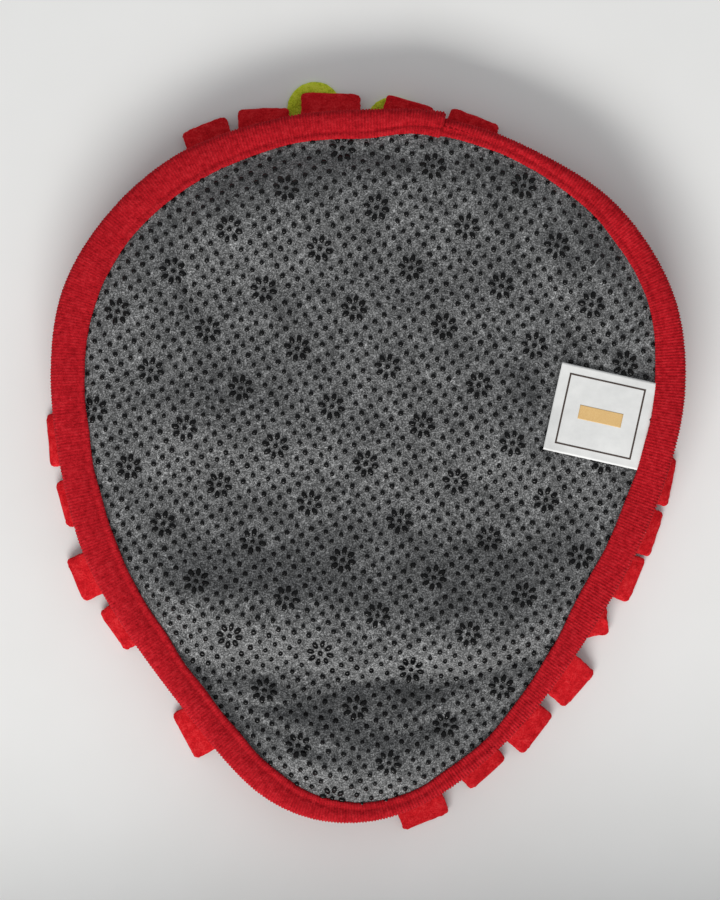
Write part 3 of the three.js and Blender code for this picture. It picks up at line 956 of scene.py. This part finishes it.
def label():
    root, inwards, side, length, half = LABEL
    along = np.linspace(-LABEL_HELD, length, 50)
    across = np.linspace(-half, half, 42)
    a, b = (v.ravel() for v in np.meshgrid(along, across, indexing="ij"))
    fray = 0.12 * np.array([noise.noise((u / 1.5, v / 1.5, 3.0)) for u, v in zip(a, b)])
    z = label_height(a, b)
    under_lip = smooth(-a / 3.0 + 0.2)
    place = root + np.outer(a, inwards) + np.outer(b + fray, side)
    depth, i = inset_of(place[:, 0] - SHIFT[0], place[:, 1] - SHIFT[1])
    z = z * (1 - under_lip) + (FELT_RIM + 0.05 + 0.5 * lie(coarse.x[i], coarse.y[i])) * under_lip
    place[:, 2] = z
    n, m = len(along), len(across)
    faces = [(i * m + j, (i + 1) * m + j, (i + 1) * m + j + 1, i * m + j + 1)
             for i in range(n - 1) for j in range(m - 1)]
    made = new_object("label", place * MM, faces, SATIN)
    if made.data.polygons[0].normal.z < 0:
        made.data.flip_normals()
    thick = made.modifiers.new("thickness", "SOLIDIFY")
    thick.thickness = LABEL_THICK * MM
    thick.offset = -1
    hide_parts("care_label")
    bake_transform(made)
    label_print()


def filled_shape(outline, drawn_in):
    """A flat shape in rings: its outline, drawn in step by step to the given share of its size."""
    middle = outline.mean(0)
    shares = np.linspace(1, drawn_in, 12)
    points = np.vstack([middle + (outline - middle) * share for share in shares])
    faces = ring_faces(len(shares), len(outline))
    if drawn_in < 0.05:
        faces.append(tuple((len(shares) - 1) * len(outline) + j for j in range(len(outline))))
    return points, faces


def rectangle(inwards, half_inwards, half_across):
    """A rectangle's outline on the label, its middle the given distance in from the seam."""
    corners = [(1, 1), (-1, 1), (-1, -1), (1, -1)]
    points = []
    for (a, b), (c, d) in zip(corners, corners[1:] + corners[:1]):
        for t in np.linspace(0, 1, POINTS_PER_SIDE, endpoint=False):
            points.append((inwards + half_inwards * (a + (c - a) * t), half_across * (b + (d - b) * t)))
    return np.array(points)


# The label's plain print: outline, how far it is drawn in, colour and height over the satin
LABEL_PRINT = {
    "frame": (rectangle(24.0, 19.5, 18.0), 0.955, BROWN, 0.08),
    "bar": (rectangle(24.0, 11.0, 3.5), 0.02, TAN, 0.1),
}


def label_print():
    """A thin brown frame round a plain tan bar, with no lettering."""
    root, inwards, side, _, _ = LABEL
    for name, (outline, drawn_in, finish, rise) in LABEL_PRINT.items():
        points, faces = filled_shape(outline, drawn_in)
        place = root + np.outer(points[:, 0], inwards) + np.outer(points[:, 1], side)
        place[:, 2] = label_height(points[:, 0], points[:, 1]) + rise
        made = new_object(f"print_{name}", place * MM, faces, finish)
        if made.data.polygons[0].normal.z < 0:
            made.data.flip_normals()
        thick = made.modifiers.new("thickness", "SOLIDIFY")
        thick.thickness = PRINT_THICK * MM
        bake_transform(made)


# ---------------------------------------------------------------- set

KEY_FROM = np.array([-0.20, -0.95, 0.60])
KEY_DISTANCE = 5.0
KEY_SIZE = (4.6, 1.4)
KEY_POWER = 268.0
SKY_STRENGTH = 0.50
TABLE_HALF = 6.0
# The flag's outline across and up, and how far towards the key it stands, in metres
FLAG_OUTLINE = [
    (-0.44, 0.075), (0.44, 0.075), (0.42, 0.125), (0.3, 0.15), (0.0, 0.158), (-0.3, 0.126), (-0.44, 0.1),
]
FLAG_AT = -0.42
LENS = 150
SENSOR_WIDTH = 36
# Height of the view at the mat, in metres, and its middle on the outline, in millimetres
VIEW_HEIGHT = 0.45
VIEW_MIDDLE = (-3, 3.5)


def studio():
    """A white table, a low soft key from beyond the tip, a flag that shades the near side, and a camera above."""
    corners = [(-TABLE_HALF, -TABLE_HALF, 0), (TABLE_HALF, -TABLE_HALF, 0),
               (TABLE_HALF, TABLE_HALF, 0), (-TABLE_HALF, TABLE_HALF, 0)]
    floor = new_object("table", corners, [(0, 1, 2, 3)], floor_material(), False)
    world = bpy.data.worlds.new("studio")
    bpy.context.scene.world = world
    world.use_nodes = True
    world.node_tree.nodes["Background"].inputs[0].default_value = (0.97, 0.985, 1.0, 1)
    world.node_tree.nodes["Background"].inputs[1].default_value = SKY_STRENGTH
    place = KEY_FROM / np.linalg.norm(KEY_FROM) * KEY_DISTANCE
    light("key", tuple(place), (0, 0, 0), KEY_SIZE, KEY_POWER, (1.0, 0.99, 0.965))
    flag = new_object("flag", [(x, 0, z) for x, z in FLAG_OUTLINE], [tuple(range(len(FLAG_OUTLINE)))],
                      floor_material(), False)
    flag.location = (0, FLAG_AT, 0)
    flag.visible_camera = False
    scene = bpy.context.scene
    scene.view_settings.view_transform = "Standard"
    camera = bpy.data.cameras.new("overhead")
    camera.lens = LENS
    camera.sensor_width = SENSOR_WIDTH
    made = bpy.data.objects.new("overhead", camera)
    scene.collection.objects.link(made)
    distance = VIEW_HEIGHT * LENS / SENSOR_WIDTH
    made.location = ((VIEW_MIDDLE[0] + SHIFT[0]) * MM, (VIEW_MIDDLE[1] + SHIFT[1]) * MM, LIP_TOP * MM + distance)
    scene.camera = made


def light(name, place, target, size, power, colour):
    data = bpy.data.lights.new(name, "AREA")
    data.shape = "RECTANGLE"
    data.size, data.size_y = size
    data.energy = power
    data.color = colour
    made = bpy.data.objects.new(name, data)
    bpy.context.scene.collection.objects.link(made)
    made.location = place
    made.rotation_euler = (Vector(target) - Vector(place)).to_track_quat("-Z", "Y").to_euler()


studio()
quilt()
grip_print()
binding()
stitches()
edge_strips()
fringe_rows()
leaves()
calyx_pad()
label()
